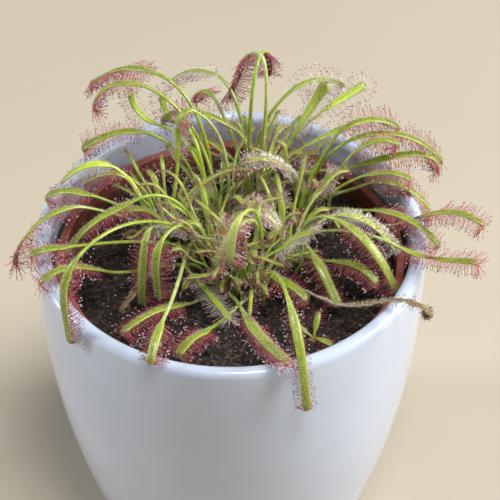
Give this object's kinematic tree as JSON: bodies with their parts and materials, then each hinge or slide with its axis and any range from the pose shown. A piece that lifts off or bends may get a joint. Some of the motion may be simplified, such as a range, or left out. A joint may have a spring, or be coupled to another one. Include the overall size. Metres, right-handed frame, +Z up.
{
  "type": "potted sundew",
  "caption": "Carnivorous house plant with arching strap leaves edged in sticky tentacles, rooted in peat in a nursery pot inside a glazed ceramic pot.",
  "frame": {"origin": "centre of the ceramic pot's flat base, where it rests", "axes": "+Z up along the pot's turned axis, -Y towards the viewer of the picture"},
  "size_m": [0.1475, 0.1367, 0.1579],
  "materials": {
    "glazed_ceramic": "pale blue-grey glaze, semi-gloss",
    "terracotta_plastic": "red-brown moulded plastic, satin",
    "peat": "dark crumbly peat with pale specks",
    "leaf_mature": "olive green leaf with red glandular tentacles",
    "leaf_young": "bright yellow-green young leaf with clear tentacles and dark glands",
    "leaf_pale": "pale green leaf with fine white hairs",
    "leaf_dead": "dry brown withered leaf"
  },
  "bodies": {
    "root": {"heart_1": "leaf_pale", "heart_2": "leaf_pale", "heart_3": "leaf_pale", "heart_4": "leaf_pale", "heart_5": "leaf_pale", "heart_6": "leaf_pale", "heart_7": "leaf_pale", "heart_8": "leaf_pale", "heart_9": "leaf_pale", "leaf_arch_back_left": "leaf_mature", "leaf_arch_behind": "leaf_mature", "leaf_arch_far_left": "leaf_mature", "leaf_arch_high_right": "leaf_mature", "leaf_arch_low_right": "leaf_mature", "leaf_arch_mid_left": "leaf_mature", "leaf_arch_right": "leaf_mature", "leaf_bright_left": "leaf_mature", "leaf_curl_left": "leaf_mature", "leaf_droop_right": "leaf_mature", "leaf_far_right": "leaf_mature", "leaf_fringe_left": "leaf_mature", "leaf_hairy_arch": "leaf_mature", "leaf_hairy_arch_low": "leaf_mature", "leaf_hang_front": "leaf_mature", "leaf_hang_front_left": "leaf_mature", "leaf_hang_left": "leaf_mature", "leaf_hang_rim_front": "leaf_mature", "leaf_long_left": "leaf_mature", "leaf_long_right": "leaf_mature", "leaf_low_front_left": "leaf_mature", "leaf_low_left": "leaf_mature", "leaf_low_right": "leaf_mature", "leaf_low_strap": "leaf_young", "leaf_near_left": "leaf_mature", "leaf_near_right": "leaf_mature", "leaf_pale_left": "leaf_young", "leaf_pale_right": "leaf_pale", "leaf_reach_right": "leaf_mature", "leaf_rim_front_left": "leaf_mature", "leaf_rim_left": "leaf_mature", "leaf_rim_right": "leaf_mature", "leaf_slim_right": "leaf_mature", "leaf_small_left": "leaf_mature", "leaf_small_right": "leaf_mature", "leaf_strap_front": "leaf_mature", "leaf_strap_front_right": "leaf_mature", "leaf_strap_left": "leaf_mature", "leaf_tall_back": "leaf_mature", "leaf_tall_back_left": "leaf_mature", "leaf_thin_arch_back": "leaf_mature", "leaf_thin_left": "leaf_mature", "leaf_withered_left": "leaf_dead", "leaf_withered_right": "leaf_dead", "leaf_young_back": "leaf_young", "leaf_young_back_right": "leaf_young", "leaf_young_hook": "leaf_young", "leaf_young_left": "leaf_young", "nursery_pot": "terracotta_plastic", "outer_pot": "glazed_ceramic", "soil": "peat"}
  },
  "joints": []
}
